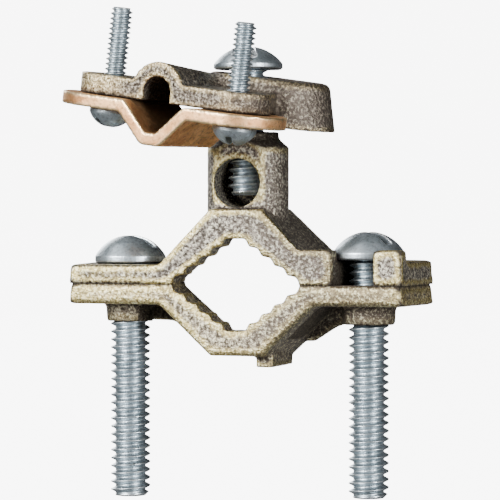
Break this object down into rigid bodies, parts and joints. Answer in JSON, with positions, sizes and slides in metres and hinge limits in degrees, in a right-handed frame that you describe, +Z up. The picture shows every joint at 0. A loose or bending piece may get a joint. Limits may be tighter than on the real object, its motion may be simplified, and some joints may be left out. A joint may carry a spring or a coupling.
{
  "type": "armored cable ground clamp",
  "caption": "Cast bronze water-pipe ground clamp with toothed jaws, a wire post and a swivelling cable clamp for armored ground wire.",
  "frame": {"origin": "centre of the pipe between the jaws: on the joint plane, halfway between the clamp screws and halfway along the jaws", "axes": "+Y along the pipe, away from the toothed side; +Z up the wire post; +X towards the ear with the open slot"},
  "size_m": [0.0581, 0.0307, 0.0779],
  "materials": {
    "cast_bronze": "tumbled sand casting, dull",
    "copper_strap": "copper strip, lightly tarnished",
    "zinc_screws": "zinc-plated steel, dull"
  },
  "bodies": {
    "upper_jaw": {"upper_jaw": "cast_bronze"},
    "lower_jaw": {"lower_jaw": "cast_bronze"},
    "cable_saddle": {"cable_saddle": "cast_bronze"},
    "cable_strap": {"cable_strap": "copper_strap"},
    "left_clamp_screw": {"left_clamp_screw": "zinc_screws"},
    "right_clamp_screw": {"right_clamp_screw": "zinc_screws"},
    "wire_screw": {"wire_screw": "zinc_screws"},
    "left_strap_screw": {"left_strap_screw": "zinc_screws"},
    "right_strap_screw": {"right_strap_screw": "zinc_screws"}
  },
  "joints": [
    {"name": "jaw_opening", "type": "slide", "parent": "upper_jaw", "child": "lower_jaw", "axis": [0, 0, -1], "range_m": [0, 0.026]},
    {"name": "left_screw_turn", "type": "hinge", "parent": "upper_jaw", "child": "left_clamp_screw", "pos_m": [-0.01988, 0, 0], "axis": [0, 0, 1], "range_deg": [0, 7500]},
    {"name": "right_screw_turn", "type": "hinge", "parent": "upper_jaw", "child": "right_clamp_screw", "pos_m": [0.01988, 0, 0], "axis": [0, 0, 1], "range_deg": [0, 7500]},
    {"name": "wire_screw_rise", "type": "slide", "parent": "upper_jaw", "child": "wire_screw", "axis": [0, 0, 1], "range_m": [0, 0.006]},
    {"name": "saddle_swivel", "type": "hinge", "parent": "upper_jaw", "child": "cable_saddle", "pos_m": [0, 0, 0], "axis": [0, 0, 1], "continuous": true},
    {"name": "strap_slide", "type": "slide", "parent": "cable_saddle", "child": "cable_strap", "axis": [-0.1244, 0.0333, -0.9917], "range_m": [0, 0.007]},
    {"name": "left_strap_screw_turn", "type": "hinge", "parent": "cable_strap", "child": "left_strap_screw", "pos_m": [-0.01942, -0.00991, 0.0278], "axis": [-0.1244, 0.0333, -0.9917], "range_deg": [0, 3300]},
    {"name": "right_strap_screw_turn", "type": "hinge", "parent": "cable_strap", "child": "right_strap_screw", "pos_m": [0.0029, -0.01589, 0.0248], "axis": [-0.1244, 0.0333, -0.9917], "range_deg": [0, 3300]}
  ],
  "couplings": [
    {"joint": "left_screw_turn", "follows": "jaw_opening", "rad_per_m": 4947.4},
    {"joint": "right_screw_turn", "follows": "jaw_opening", "rad_per_m": 4947.4},
    {"joint": "left_strap_screw_turn", "follows": "strap_slide", "rad_per_m": 7915.8},
    {"joint": "right_strap_screw_turn", "follows": "strap_slide", "rad_per_m": 7915.8}
  ]
}
